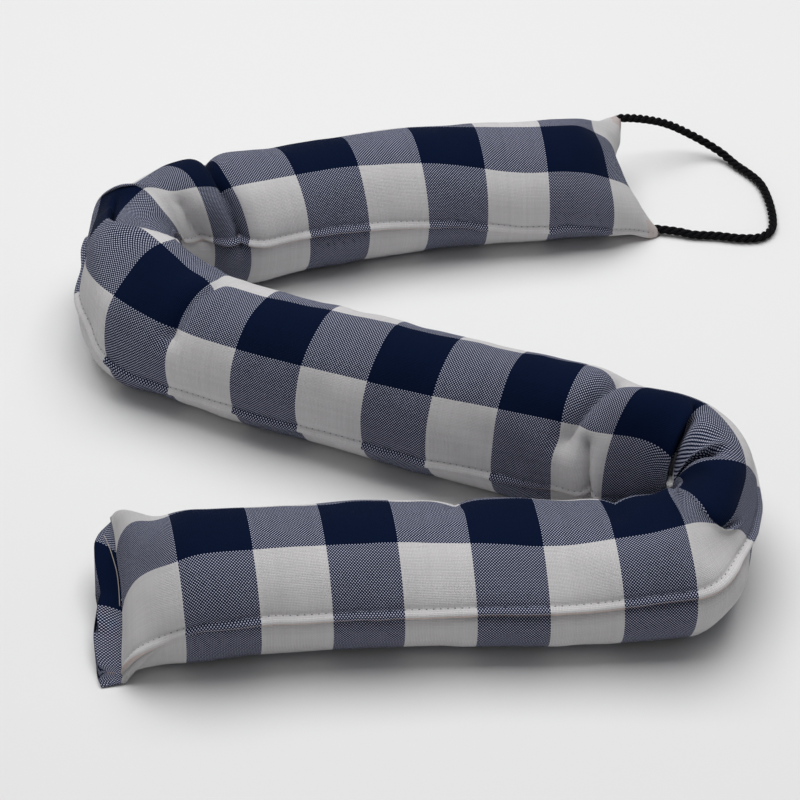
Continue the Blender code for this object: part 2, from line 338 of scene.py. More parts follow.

# How the colour varies from yarn to yarn and from patch to patch, and how far the gaps between
# yarns are darkened as painted shade: by how much, and from which share of the colour up
YARN_SHADE = (0.1, 0.95)
PATCH_SHADE = (0.22, 0.89)
GAP_PAINTED_SHADE = (0.18, 0.85)

# Noise in the materials: its scale and its detail
PATCHES = (26.0, 3.0)
SPECKS = (420.0, 1.0)
SLUBS = (700.0, 2.0)
CORD_FIBRES = (1500.0, 3.0)
THREAD_FIBRES = (2500.0, 2.0)

# Tinted places of the pale cloth: the noise from which a speck shows, the width of the cut edge,
# the size of the corners of the end seam, and the share of the tint in each
SPECK_FROM = 0.77
SPECK_TINT = 0.35
CUT_EDGE = 0.75
CUT_EDGE_TINT = 0.7
CORNER_DEPTH = 0.16
CORNER_WIDTH = 0.3
CORNER_TINT = 0.45

# Needle holes: their half length as a share of the stitches' pitch and half their width
HOLE_LENGTH = 0.12
HOLE_HALF = 0.3

# Relief of the slubs in the cloth, of the plies and fibres in the cord and of the thread, and how
# much paler the fibres are. In the cord the paler share follows the plies' relief as well as the
# fibres' random tone, so the grooves between plies are darkened as painted shade
SLUB_HEIGHT = 0.6
PLY_RELIEF = (0.35, 0.5)
CORD_FIBRE_HEIGHT = 0.5
CORD_TONE_AND_GROOVE_SHADE = 0.8
CORD_PALER = 2.6
CORD_RELIEF = 0.12
THREAD_PALER = 1.25
THREAD_RELIEF = 0.05

# The floor's half size in metres and how far it lies below the cloth
FLOOR_REACH = 4.0
FLOOR_DROP = 0.3

# The photographed view: where the camera looks, how far off it stands and how steeply it looks
# down, and its lens
VIEW_TARGET = (0.394, -1.043, 0.0)
VIEW_DISTANCE = 1202.0
VIEW_ELEVATION = math.radians(37.86)
VIEW_LENS = 125.7
SENSOR_WIDTH = 36.0


class ClothSettings(bpy.types.PropertyGroup):
    """Sizes and colours of the check cotton."""

    yarns: IntProperty(
        name="Yarns",
        description="Yarns in one woven square, in both directions",
        default=48,
        min=8,
    )
    navy: FloatVectorProperty(
        name="Navy",
        description="Colour of the dark yarn",
        subtype="COLOR",
        size=3,
        default=(0.0012, 0.0062, 0.028),
    )
    white: FloatVectorProperty(
        name="White",
        description="Colour of the pale yarn",
        subtype="COLOR",
        size=3,
        default=(0.65, 0.637, 0.645),
    )
    crossed: FloatVectorProperty(
        name="Crossed white",
        description="Colour of the pale yarn where it crosses navy yarn",
        subtype="COLOR",
        size=3,
        default=(0.52, 0.54, 0.68),
    )
    selvedge: FloatVectorProperty(
        name="Cut edge",
        description="Tint of the pale cloth's cut edge under a seam",
        subtype="COLOR",
        size=3,
        default=(0.60, 0.47, 0.42),
    )
    yarn_relief: FloatProperty(
        name="Yarn relief",
        description="Height of a yarn over the gap beside it",
        default=0.16 * MM,
        unit="LENGTH",
    )
    pucker: FloatProperty(
        name="Pucker",
        description="Height of the puckers beside a seam",
        default=0.55 * MM,
        unit="LENGTH",
    )
    ripple: FloatProperty(
        name="Ripple",
        description="Height of the soft ripples between the seams",
        default=0.7 * MM,
        unit="LENGTH",
    )


class StitchSettings(bpy.types.PropertyGroup):
    """Sizes and colours of the sewing."""

    pitch: FloatProperty(
        name="Pitch",
        description="Distance from one machine stitch to the next",
        default=2.7 * MM,
        unit="LENGTH",
    )
    length: FloatProperty(
        name="Length",
        description="Length of the thread that shows at one stitch",
        default=0.7 * MM,
        unit="LENGTH",
    )
    thread: FloatProperty(
        name="Thread",
        description="Thickness of the sewing thread",
        default=0.38 * MM,
        unit="LENGTH",
    )
    edge_colour: FloatVectorProperty(
        name="Edge thread",
        description="Colour of the thread along both edges",
        subtype="COLOR",
        size=3,
        default=(0.13, 0.14, 0.18),
    )
    hem_colour: FloatVectorProperty(
        name="Hem thread",
        description="Colour of the thread that closes the hemmed end",
        subtype="COLOR",
        size=3,
        default=(0.36, 0.33, 0.3),
    )


class CordSettings(bpy.types.PropertyGroup):
    """Sizes and colour of the twisted cord."""

    diameter: FloatProperty(
        name="Diameter",
        description="Diameter of the whole cord",
        default=4.0 * MM,
        unit="LENGTH",
    )
    strands: IntProperty(name="Strands", description="Strands laid together", default=3, min=2)
    lay: FloatProperty(
        name="Lay",
        description="Length in which a strand goes once round the cord",
        default=10.8 * MM,
        unit="LENGTH",
    )
    colour: FloatVectorProperty(
        name="Colour",
        description="Colour of the cord",
        subtype="COLOR",
        size=3,
        default=(0.0012, 0.0012, 0.0018),
    )


class StageSettings(bpy.types.PropertyGroup):
    """Floor and light."""

    floor_colour: FloatVectorProperty(
        name="Floor",
        description="Colour of the floor",
        subtype="COLOR",
        size=3,
        default=(0.8, 0.8, 0.8),
    )
    overhead: FloatProperty(
        name="Overhead light",
        description="Power of the large light over the object",
        default=26.0,
        unit="POWER",
    )
    front: FloatProperty(
        name="Front light",
        description="Power of the light at the viewer's left",
        default=0.5,
        unit="POWER",
    )
    sky: FloatProperty(
        name="Room light",
        description="Strength of the light from all round",
        default=0.22,
    )


def even_slopes(stations, values):
    """Slopes of a curve through the table's rows that never runs past a row's value."""
    steps = np.diff(stations)[:, None]
    chords = np.diff(values, axis=0) / steps
    slopes = np.zeros_like(values)
    slopes[0] = chords[0]
    slopes[-1] = chords[-1]
    before = steps[:-1]
    after = steps[1:]
    weight_before = 2 * after + before
    weight_after = after + 2 * before
    same_way = chords[:-1] * chords[1:] > 0
    safe_before = np.where(same_way, chords[:-1], 1.0)
    safe_after = np.where(same_way, chords[1:], 1.0)
    mean = (weight_before + weight_after) / (weight_before / safe_before + weight_after / safe_after)
    slopes[1:-1] = np.where(same_way, mean, 0.0)
    return slopes


def read_table(rows, places):
    """Read a table along one smooth curve: a column for each value that follows the place."""
    table = np.array(rows, dtype=float)
    marks = table[:, 0]
    values = table[:, 1:]
    slopes = even_slopes(marks, values)
    index = np.clip(np.searchsorted(marks, places) - 1, 0, len(marks) - 2)
    span = (marks[index + 1] - marks[index])[:, None]
    t = (places - marks[index])[:, None] / span
    start = (2 * t**3 - 3 * t**2 + 1) * values[index]
    start_slope = (t**3 - 2 * t**2 + t) * span * slopes[index]
    end = (3 * t**2 - 2 * t**3) * values[index + 1]
    end_slope = (t**3 - t**2) * span * slopes[index + 1]
    return (start + start_slope + end + end_slope).T


def fullness(stations):
    """How far the filling has rounded the tube out: 0 at a closing seam, 1 away from it."""
    from_hem = np.clip((stations - HEM_SEAM) / HEM_EASE, 0.0, 1.0)
    from_cord = np.clip((CORD_SEAM - stations) / CORD_EASE, 0.0, 1.0)
    nearest = np.minimum(from_hem, from_cord)
    return (1.0 - (1.0 - nearest) ** 2) ** END_ROUNDING


def filled_shape(stations):
    """The tube's surface without its sewing: a ring of evenly spaced points for each station."""
    right_x, right_y, left_x, left_y, height, roll, tilt, bow = read_table(SECTIONS, stations)
    tilt = np.radians(tilt)[:, None]
    right = np.stack([right_x - left_x, right_y - left_y], axis=1)
    plan_half = 0.5 * np.linalg.norm(right, axis=1)
    half_width = plan_half[:, None] / np.cos(tilt)
    full_height = FLANGE_THICKNESS + (height - FLANGE_THICKNESS) * fullness(stations)
    sink = (FLOOR_SINK * full_height)[:, None]
    half_height = 0.5 * (full_height[:, None] + sink)
    turn = np.linspace(0.0, 2.0 * math.pi, OUTLINE_STEPS + 1) + np.radians(roll)[:, None]
    side = half_width * np.cos(turn)
    rise = half_height * np.sin(turn)
    shape_side = side * np.cos(tilt) - rise * np.sin(tilt)
    shape_rise = side * np.sin(tilt) + rise * np.cos(tilt)
    shape_rise = np.maximum(shape_rise - shape_rise.min(axis=1, keepdims=True) - sink, 0.0)
    steps = np.hypot(np.diff(shape_side, axis=1), np.diff(shape_rise, axis=1))
    lengths = np.cumsum(np.pad(steps, ((0, 0), (1, 0))), axis=1)
    wanted = np.arange(RING_PLACES) / RING_PLACES
    points = np.empty((len(stations), RING_PLACES, 3))
    right /= 2.0 * plan_half[:, None]
    travel = np.stack([-right[:, 1], right[:, 0]], axis=1)
    middle = 0.5 * np.stack([right_x + left_x, right_y + left_y], axis=1)
    for index, length in enumerate(lengths):
        places = wanted * length[-1]
        ring_side = np.interp(places, length, shape_side[index])
        ring_rise = np.interp(places, length, shape_rise[index])
        ahead = bow[index] * (1.0 - np.clip(np.abs(ring_side) / plan_half[index], 0.0, 1.0) ** 2)
        plan = middle[index] + ring_side[:, None] * right[index] + ahead[:, None] * travel[index]
        points[index, :, :2] = plan
        points[index, :, 2] = ring_rise
    return points


def loft(stations, across):
    """The cloth's own rows and columns on the filled shape, where it has crept to."""
    shape = filled_shape(stations)
    station_grid, across_grid = np.meshgrid(stations, across, indexing="ij")
    rows = station_grid.copy()
    columns = across_grid.copy()
    for creep in CREEPS:
        gap = np.mod(across_grid - creep.across + PANEL_CHECKS, 2 * PANEL_CHECKS) - PANEL_CHECKS
        share = np.exp(-(((station_grid - creep.station) / creep.reach_along) ** 2))
        share *= np.exp(-((gap / creep.reach_round) ** 2))
        rows += creep.along * share
        columns += creep.round * share
    rows = np.interp(rows, stations, np.arange(len(stations)))
    columns *= RING_PLACES / (2 * PANEL_CHECKS)
    row_low = np.minimum(rows.astype(int), len(stations) - 2)
    column_low = np.floor(columns).astype(int)
    row_part = (rows - row_low)[..., None]
    column_part = (columns - column_low)[..., None]
    here = column_low % RING_PLACES
    after = (column_low + 1) % RING_PLACES
    low = shape[row_low, here] * (1 - column_part) + shape[row_low, after] * column_part
    high = shape[row_low + 1, here] * (1 - column_part) + shape[row_low + 1, after] * column_part
    return low * (1 - row_part) + high * row_part


def unit(vectors):
    """Vectors of the same directions, one long."""
    return vectors / np.maximum(np.linalg.norm(vectors, axis=-1, keepdims=True), 1e-9)


def cloth_directions(points):
    """Directions along and round the tube and straight out of the cloth at every point."""
    along = unit(np.gradient(points, axis=0))
    round_way = unit(np.roll(points, -1, axis=1) - np.roll(points, 1, axis=1))
    outward = unit(np.cross(along, round_way))
    return along, round_way, outward


def smooth_step(values, start, end):
    """0 before start, 1 after end and a soft rise between them."""
    t = np.clip((values - start) / (end - start), 0.0, 1.0)
    return t * t * (3.0 - 2.0 * t)


def from_right_seam(across):
    """Places round the tube counted from the right-hand seam, below it with a minus."""
    return np.where(across > 1.5 * PANEL_CHECKS, across - 2 * PANEL_CHECKS, across)


def crease_moves(stations, across):
    """How far the creases push the cloth in, and slide it along and round the tube."""
    inward = np.zeros((len(stations), len(across)))
    slide_along = np.zeros_like(inward)
    slide_round = np.zeros_like(inward)
    station_grid, across_grid = np.meshgrid(stations, from_right_seam(across), indexing="ij")
    for crease in CREASES:
        run = np.array([crease.end_station - crease.station, crease.end_across - crease.across])
        offset_along = station_grid - crease.station
        offset_round = across_grid - crease.across
        share = np.clip((offset_along * run[0] + offset_round * run[1]) / (run @ run), 0.0, 1.0)
        away_along = CHECK * (offset_along - share * run[0])
        away_round = CHECK * (offset_round - share * run[1])
        away = np.hypot(away_along, away_round)
        soft = np.exp(-((away / crease.width) ** 2))
        slide_along -= crease.close * away_along * soft
        slide_round -= crease.close * away_round * soft
        if crease.lean:
            left = np.array([-run[1], run[0]]) * crease.lean / np.linalg.norm(run)
            height = CHECK * (offset_along * left[0] + offset_round * left[1])
            under = 0.5 * (1.0 - np.tanh(height / LAP_EDGE))
            inward += crease.depth * soft * (under - LAP_BULGE * (1.0 - under))
            lap = LAP_REACH * crease.depth * soft * (1.0 - under)
            slide_along -= lap * left[0]
            slide_round -= lap * left[1]
        else:
            sharp = np.exp(-away / (CREASE_CORE_WIDTH * crease.width))
            core = CREASE_CORE if crease.depth > CREASE_CORE_FROM * crease.width else 0.0
            inward += crease.depth * ((1.0 - core) * soft + core * sharp)
    return inward, slide_along, slide_round


def value_noise(shape, cell, seed):
    """Smooth noise from -1 to 1 on a grid of rows and columns, the same in every run."""
    random = np.random.default_rng(seed)
    rows = int(shape[0] / cell[0]) + 3
    columns = max(3, round(shape[1] / cell[1]))
    lattice = random.uniform(-1.0, 1.0, (rows, columns))
    row_place = np.arange(shape[0]) / cell[0]
    column_place = np.arange(shape[1]) / shape[1] * columns
    row_low = row_place.astype(int)
    column_low = column_place.astype(int) % columns
    column_high = (column_low + 1) % columns
    row_part = smooth_step(row_place - row_low, 0.0, 1.0)[:, None]
    column_part = smooth_step(column_place - np.floor(column_place), 0.0, 1.0)[None, :]
    low_rows = lattice[row_low]
    high_rows = lattice[row_low + 1]
    low = low_rows[:, column_low] * (1 - column_part) + low_rows[:, column_high] * column_part
    high = high_rows[:, column_low] * (1 - column_part) + high_rows[:, column_high] * column_part
    return low * (1 - row_part) + high * row_part


def ripple_heights(shape, ripples):
    """Heights of ripples over the rows and columns of the cloth, as shares of the full height."""
    heights = np.zeros(shape)
    for ripple in ripples:
        cell = (ROWS_PER_CHECK * ripple.length, ripple.columns)
        heights += ripple.share * value_noise(shape, cell, ripple.seed)
    return heights


def across_places():
    """Places round the tube that carry a column of points: fine at the seams, even between."""
    lip = [row.distance / CHECK for row in LIP_PROFILE]
    free = PANEL_CHECKS - lip[-1] + lip[0]
    count = round(free * CHECK / CLOTH_STEP)
    places = [place for place in lip if place >= 0.0]
    places += [lip[-1] + free * step / count for step in range(1, count)]
    places += [PANEL_CHECKS - place for place in reversed(lip)]
    places += [PANEL_CHECKS - lip[0] + free * step / count for step in range(1, count)]
    places += [2 * PANEL_CHECKS + place for place in lip if place < 0.0]
    return np.array(places)


def seam_moves(stations, across):
    """How far the sewn edges stand out and droop, and how near each point is to a seam."""
    distance = np.array([row.distance for row in LIP_PROFILE])
    out = np.array([row.out for row in LIP_PROFILE])
    droop = np.array([row.droop for row in LIP_PROFILE])
    right_seam = CHECK * from_right_seam(across)
    left_seam = CHECK * (PANEL_CHECKS - across)
    outward = np.zeros((len(stations), len(across)))
    slide = np.zeros_like(outward)
    body = smooth_step(stations, HEM_SEAM + LIP_RISE_FROM, HEM_SEAM + LIP_RISE_TO)
    body *= 1.0 - smooth_step(stations, CORD_SEAM - LIP_FALL, CORD_SEAM)
    for places, pinched, direction in ((right_seam, PINCHED_RIGHT, -1), (left_seam, PINCHED_LEFT, 1)):
        entering = smooth_step(stations, pinched[0] - PINCH_EASE, pinched[0] + PINCH_EASE)
        leaving = smooth_step(stations, pinched[1] - PINCH_EASE, pinched[1] + PINCH_EASE)
        share = body * (1.0 - (1.0 - PINCHED_SHARE) * entering * (1.0 - leaving))
        outward += share[:, None] * np.interp(places, distance, out)
        slide += direction * share[:, None] * np.interp(places, distance, droop)
    nearest = np.minimum(np.abs(right_seam), np.abs(left_seam))
    return outward, slide, np.exp(-((nearest / PUCKER_REACH) ** 2))


def edge_moves(stations, across):
    """How far the free edges of the hem and of the end seam run out along the tube, and up."""
    mirrored = np.where(across > PANEL_CHECKS, 2 * PANEL_CHECKS - across, across)
    hem_share = np.clip((HEM_SEAM - stations) / -FLANGE_END, 0.0, 1.0) ** HEM_WAVE_POWER
    end_share = smooth_step(stations, CORD_SEAM - END_WAVE_REACH, CORD_SEAM)
    hem_out, hem_up = read_table(HEM_WAVES, mirrored)
    end_out, end_up = read_table(END_WAVES, mirrored)
    ahead = end_share[:, None] * end_out - hem_share[:, None] * hem_out
    return ahead, end_share[:, None] * end_up + hem_share[:, None] * hem_up


def corner_bulge(stations, across):
    """How far the cloth stands off the cord's ends inside both corners of the end seam."""
    from_seam = np.abs(np.mod(across + 0.5 * PANEL_CHECKS, PANEL_CHECKS) - 0.5 * PANEL_CHECKS)
    away = CHECK * np.hypot((CORD_SEAM - stations)[:, None], from_seam[None, :])
    return CORNER_BULGE * np.exp(-((away / CORNER_REACH) ** 2))


def creased(points, stations, across):
    """The tube with its main creases pressed in."""
    along, round_way, outward = cloth_directions(points)
    inward, slide_along, slide_round = crease_moves(stations, across)
    points = points - inward[..., None] * outward
    return points + slide_along[..., None] * along + slide_round[..., None] * round_way


def resample(values, places, wraps):
    """Read rows of values at places between them, along one smooth curve through them."""
    count = len(values)
    low = np.floor(places).astype(int)
    t = (places - low).reshape((-1,) + (1,) * (values.ndim - 1))
    rows = [low - 1, low, low + 1, low + 2]
    rows = [row % count if wraps else np.clip(row, 0, count - 1) for row in rows]
    before, start, end, after = (values[row] for row in rows)
    smooth = 2 * start + (end - before) * t
    smooth = smooth + (2 * before - 5 * start + 4 * end - after) * t**2
    smooth = smooth + (3 * start - before - 3 * end + after) * t**3
    return 0.5 * smooth


def blurred(values, reach, wraps):
    """Rows of values, each weighted with its neighbours over that many rows either way."""
    places = np.arange(len(values))
    gap = np.abs(places[:, None] - places[None, :])
    if wraps:
        gap = np.minimum(gap, len(values) - gap)
    weights = np.exp(-0.5 * (gap / reach) ** 2)
    weights /= weights.sum(axis=1, keepdims=True)
    return np.tensordot(weights, values, axes=(1, 0))


def settled(item, rest_key):
    """Let an object settle as filled cloth towards its rest shape, and return where it ends."""
    modifier = item.modifiers.new("Cloth", "CLOTH")
    settings = modifier.settings
    settings.quality = 6
    settings.mass = 0.25
    settings.tension_stiffness = 25.0
    settings.compression_stiffness = 25.0
    settings.shear_stiffness = 8.0
    settings.bending_stiffness = 6.0
    settings.tension_damping = 8.0
    settings.compression_damping = 8.0
    settings.air_damping = 4.0
    settings.use_pressure = True
    settings.uniform_pressure_force = SIM_PRESSURE
    settings.effector_weights.gravity = 0.0
    settings.vertex_group_mass = "held"
    settings.rest_shape_key = rest_key
    collisions = modifier.collision_settings
    collisions.use_collision = False
    collisions.use_self_collision = True
    collisions.self_distance_min = 0.0015
    collisions.collision_quality = 3
    modifier.point_cache.frame_start = 1
    modifier.point_cache.frame_end = SIM_FRAMES
    scene = bpy.context.scene
    for number in range(1, SIM_FRAMES + 1):
        scene.frame_set(number)
    evaluated = item.evaluated_get(bpy.context.evaluated_depsgraph_get())
    ended = np.empty(3 * len(item.data.vertices))
    evaluated.data.vertices.foreach_get("co", ended)
    scene.frame_set(1)
    return ended


def settled_moves(stations, across):
    """How far the filled cloth moves where it is slack or pressed together, by simulation.

    The cloth starts on the lofted tube but keeps the lengths of a straight one, so that it
    buckles inside the hairpins. It is held along the floor and at both closing seams.
    """
    sim_stations = np.linspace(HEM_SEAM, CORD_SEAM, round(CORD_SEAM * SIM_ROWS_PER_CHECK) + 1)
    sim_across = np.linspace(0.0, 2 * PANEL_CHECKS, SIM_COLUMNS, endpoint=False)
    start = loft(sim_stations, sim_across) * MM
    angle = 2 * math.pi * np.arange(SIM_COLUMNS) / SIM_COLUMNS
    radius = 2 * PANEL_CHECKS * CLOTH_CHECK_ROUND * MM / (2 * math.pi)
    straight = np.empty_like(start)
    straight[..., 0] = (sim_stations * CLOTH_CHECK_ALONG * MM)[:, None]
    straight[..., 1] = radius * np.cos(angle)
    straight[..., 2] = radius * np.sin(angle)
    data = skin_grid("settling", start, sim_stations, sim_across, True, 2 * PANEL_CHECKS)
    item = bpy.data.objects.new("settling", data)
    bpy.context.scene.collection.objects.link(item)
    item.shape_key_add(name="Basis")
    rest = item.shape_key_add(name="straight")
    rest.data.foreach_set("co", straight.ravel())
    rest.value = 0.0
    held = item.vertex_groups.new(name="held")
    near_end = np.minimum(sim_stations - HEM_SEAM, CORD_SEAM - sim_stations) < SIM_HELD_ENDS
    on_floor = start[..., 2] < SIM_HELD_BELOW * MM
    fixed = np.flatnonzero((near_end[:, None] | on_floor).ravel())
    held.add([int(index) for index in fixed], 1.0, "REPLACE")
    ended = settled(item, rest)
    bpy.data.objects.remove(item, do_unlink=True)
    moves = (ended.reshape(start.shape) - start) / MM
    outward = cloth_directions(start)[2]
    moves = (moves * outward).sum(axis=-1)
    moves -= blurred(moves, SIM_ROWS_PER_CHECK * SIM_DRIFT, False)
    moves = blurred(blurred(moves, SIM_BLUR, False).T, SIM_BLUR, True).T[..., None]
    moves = SIM_CAP * np.tanh(moves / SIM_CAP) * outward
    rows = np.clip((stations - HEM_SEAM) * SIM_ROWS_PER_CHECK, 0.0, len(sim_stations) - 1.0)
    columns = across / (2 * PANEL_CHECKS) * SIM_COLUMNS
    by_row = resample(moves, rows, False)
    return resample(by_row.transpose(1, 0, 2), columns, True).transpose(1, 0, 2)


def cover_points(cloth, stations, across):
    """The whole cover: the lofted tube with its creases, seams, puckers and hem."""
    points = loft(stations, across)
    points = points + settled_moves(stations, across)
    points = creased(points, stations, across)
    along, round_way, outward = cloth_directions(points)
    lip, droop, nearness = seam_moves(stations, across)
    shape = (len(stations), len(across))
    ripple = cloth.ripple * ripple_heights(shape, RIPPLES)
    pucker = cloth.pucker * nearness * ripple_heights(shape, PUCKERS)
    inside = smooth_step(stations, HEM_SEAM, HEM_SEAM + RELIEF_EASE)[:, None]
    relief = inside * (ripple + pucker) / MM
    relief += corner_bulge(stations, across)
    edge_ahead, edge_up = edge_moves(stations, across)
    points = points + (lip + relief)[..., None] * outward + droop[..., None] * round_way
    straight_on = unit(along.mean(axis=1, keepdims=True))
    points = points + edge_ahead[..., None] * straight_on
    points[..., 2] += edge_up
    points[..., 2] = np.maximum(points[..., 2], 0.0)
    return (points - np.array(FLOOR_MIDDLE)) * MM


def station_places():
    """Stations that carry a row of points, with rows on both sides of the closing seams."""
    count = round((CORD_SEAM - HEM_SEAM) * ROWS_PER_CHECK)
    flange = np.linspace(FLANGE_END, HEM_SEAM, FLANGE_ROWS + 1)[:-1]
    return np.concatenate([flange, np.linspace(HEM_SEAM, CORD_SEAM, count + 1)])


def skin_grid(name, points, along_values, round_values, closes_as_strip, round_total):
    """Make a closed tube from rows of points, with a UV map called cloth."""
    rows, columns = points.shape[:2]
    mesh = bmesh.new()
    layer = mesh.loops.layers.uv.new("cloth")
    verts = [[mesh.verts.new(point) for point in row] for row in points]

    def add_face(corners):
        face = mesh.faces.new([verts[row][column % columns] for row, column in corners])
        for loop, (row, column) in zip(face.loops, corners):
            place = round_total if column == columns else round_values[column]
            loop[layer].uv = (along_values[row], place)
        face.smooth = True

    for row in range(rows - 1):
        for column in range(columns):
            ahead = column + 1
            add_face(((row, column), (row, ahead), (row + 1, ahead), (row + 1, column)))
    for row in (0, rows - 1):
        if closes_as_strip:
            half = columns // 2
            for column in range(half):
                mirror = columns - column
                if column == 0:
                    corners = ((row, 0), (row, 1), (row, columns - 1))
                elif column == half - 1:
                    corners = ((row, column), (row, half), (row, half + 1))
                else:
                    corners = ((row, column), (row, column + 1), (row, mirror - 1), (row, mirror))
                add_face(corners)
        else:
            add_face([(row, column) for column in range(columns)])
    bmesh.ops.recalc_face_normals(mesh, faces=mesh.faces)
    data = bpy.data.meshes.new(name)
    mesh.to_mesh(data)
    mesh.free()
    return data


def place_object(name, data, material):
    """Link a finished mesh as an object of that name, with its material."""
    data.materials.clear()
    data.materials.append(material)
    item = bpy.data.objects.new(name, data)
    bpy.context.scene.collection.objects.link(item)
    return item


def sum_of(tree, operation, *inputs):
    """Add a Math node to a material and return its result."""
    node = tree.nodes.new("ShaderNodeMath")
    node.operation = operation
    for socket, item in zip(node.inputs, inputs):
        if isinstance(item, (int, float)):
            socket.default_value = item
        else:
            tree.links.new(item, socket)
    return node.outputs[0]


def mix_of(tree, share, first, second):
    """Add a Mix node for values and return its result."""
    node = tree.nodes.new("ShaderNodeMix")
    node.data_type = "FLOAT"
    tree.links.new(share, node.inputs[0])
    tree.links.new(first, node.inputs[2])
    tree.links.new(second, node.inputs[3])
    return node.outputs[0]


def blend_of(tree, share, first, second, blend_type="MIX"):
    """Add a Mix node for colours and return its result."""
    node = tree.nodes.new("ShaderNodeMix")
    node.data_type = "RGBA"
    node.blend_type = blend_type
    for socket, item in ((node.inputs[0], share), (node.inputs[6], first), (node.inputs[7], second)):
        if isinstance(item, (int, float)):
            socket.default_value = item
        elif isinstance(item, bpy.types.NodeSocket):
            tree.links.new(item, socket)
        else:
            socket.default_value = (*item, 1.0)
    return node.outputs[2]


def noise_of(tree, scale, detail):
    """Add a Noise node that follows the object and return its value from 0 to 1."""
    node = tree.nodes.new("ShaderNodeTexNoise")
    node.inputs["Scale"].default_value = scale
    node.inputs["Detail"].default_value = detail
    place = tree.nodes.new("ShaderNodeTexCoord").outputs["Object"]
    tree.links.new(place, node.inputs["Vector"])
    return node.outputs["Fac"]


def yarn_tone(tree, index, seed):
    """A random tone for each yarn, from its count."""
    node = tree.nodes.new("ShaderNodeTexWhiteNoise")
    node.noise_dimensions = "1D"
    tree.links.new(sum_of(tree, "ADD", index, seed), node.inputs["W"])
    return node.outputs["Value"]


def new_material(name, roughness):
    """Make a material and return it with its tree and its Principled BSDF."""
    material = bpy.data.materials.new(name)
    material.use_nodes = True
    tree = material.node_tree
    shader = tree.nodes["Principled BSDF"]
    shader.inputs["Roughness"].default_value = roughness
    shader.inputs["Metallic"].default_value = 0.0
    return material, tree, shader


def add_bump(tree, shader, height, distance):
    """Raise the surface by a height from 0 to 1, times a distance in metres."""
    bump = tree.nodes.new("ShaderNodeBump")
    bump.inputs["Strength"].default_value = 1.0
    bump.inputs["Distance"].default_value = distance
    tree.links.new(height, bump.inputs["Height"])
    tree.links.new(bump.outputs["Normal"], shader.inputs["Normal"])


def cloth_uv(tree):
    """The cloth's own UV map as two values."""
    node = tree.nodes.new("ShaderNodeUVMap")
    node.uv_map = "cloth"
    parts = tree.nodes.new("ShaderNodeSeparateXYZ")
    tree.links.new(node.outputs["UV"], parts.inputs["Vector"])
    return parts.outputs["X"], parts.outputs["Y"]


def climb_yarns(tree, from_seam):
    """Woven squares of cloth that the climb from a closing seam adds up to a place."""
    near = sum_of(tree, "MINIMUM", sum_of(tree, "MAXIMUM", from_seam, 0.0), 1.0)
    crowded = sum_of(tree, "POWER", near, END_CLIMB_POWER)
    return sum_of(tree, "ADD", sum_of(tree, "MULTIPLY_ADD", crowded, -END_CLIMB, near), END_CLIMB - 1.0)


def yarn_places(tree, yarns, along, across, past_seam):
    """Count the yarns up to a place, along and round the cloth as it was woven."""
    hem_climb = climb_yarns(tree, along)
    cord_climb = climb_yarns(tree, sum_of(tree, "SUBTRACT", CORD_SEAM, along))
    woven_along = sum_of(tree, "SUBTRACT", sum_of(tree, "ADD", along, cord_climb), hem_climb)
    seam_gap = sum_of(tree, "ABSOLUTE", past_seam)
    fading = sum_of(tree, "MULTIPLY_ADD", seam_gap, -CHECK / LIP_WIDTH, 1.0)
    nearness = sum_of(tree, "MAXIMUM", 0.0, fading)
    turned_in = sum_of(tree, "MULTIPLY", sum_of(tree, "SIGN", past_seam), nearness)
    woven_round = sum_of(tree, "MULTIPLY_ADD", turned_in, -LIP_EXTRA / CHECK, across)
    return [sum_of(tree, "MULTIPLY", woven, yarns) for woven in (woven_along, woven_round)]


def yarn_height(tree, over, under):
    """Height of a yarn over the one that it crosses, from the roundness of both."""
    crown = sum_of(tree, "MULTIPLY_ADD", under, YARN_DIP, 1.0 - YARN_DIP)
    return sum_of(tree, "MULTIPLY", sum_of(tree, "POWER", over, YARN_FLATNESS), crown)


def tinted_places(tree, along, across, seam_gap):
    """Share of tint in the pale cloth: specks, cut edges and the corners of the end seam."""
    speck = sum_of(tree, "GREATER_THAN", noise_of(tree, *SPECKS), SPECK_FROM)
    near_seam = sum_of(tree, "LESS_THAN", seam_gap, CUT_EDGE / CHECK)
    is_under = sum_of(tree, "GREATER_THAN", across, PANEL_CHECKS)
    cut_edge = sum_of(tree, "MULTIPLY", near_seam, is_under)
    near_end = sum_of(tree, "GREATER_THAN", along, CORD_SEAM - CORNER_DEPTH)
    in_corner = sum_of(tree, "LESS_THAN", seam_gap, CORNER_WIDTH)
    corner = sum_of(tree, "MULTIPLY", near_end, in_corner)
    tint = sum_of(tree, "MULTIPLY", speck, SPECK_TINT)
    for place, share in ((cut_edge, CUT_EDGE_TINT), (corner, CORNER_TINT)):
        tint = sum_of(tree, "MAXIMUM", tint, sum_of(tree, "MULTIPLY", place, share))
    return tint


def needle_holes(tree, stitch, along, seam_gap):
    """1 where the needle went through beside a seam, and 0 elsewhere."""
    pitch = stitch.pitch / (CHECK * MM)
    hole_along = sum_of(tree, "PINGPONG", sum_of(tree, "DIVIDE", along, pitch), 0.5)
    from_row = sum_of(tree, "MULTIPLY_ADD", seam_gap, CHECK, -STITCH_GAP)
    hole_round = sum_of(tree, "ABSOLUTE", from_row)
    long_enough = sum_of(tree, "LESS_THAN", hole_along, HOLE_LENGTH)
    return sum_of(tree, "MULTIPLY", long_enough, sum_of(tree, "LESS_THAN", hole_round, HOLE_HALF))


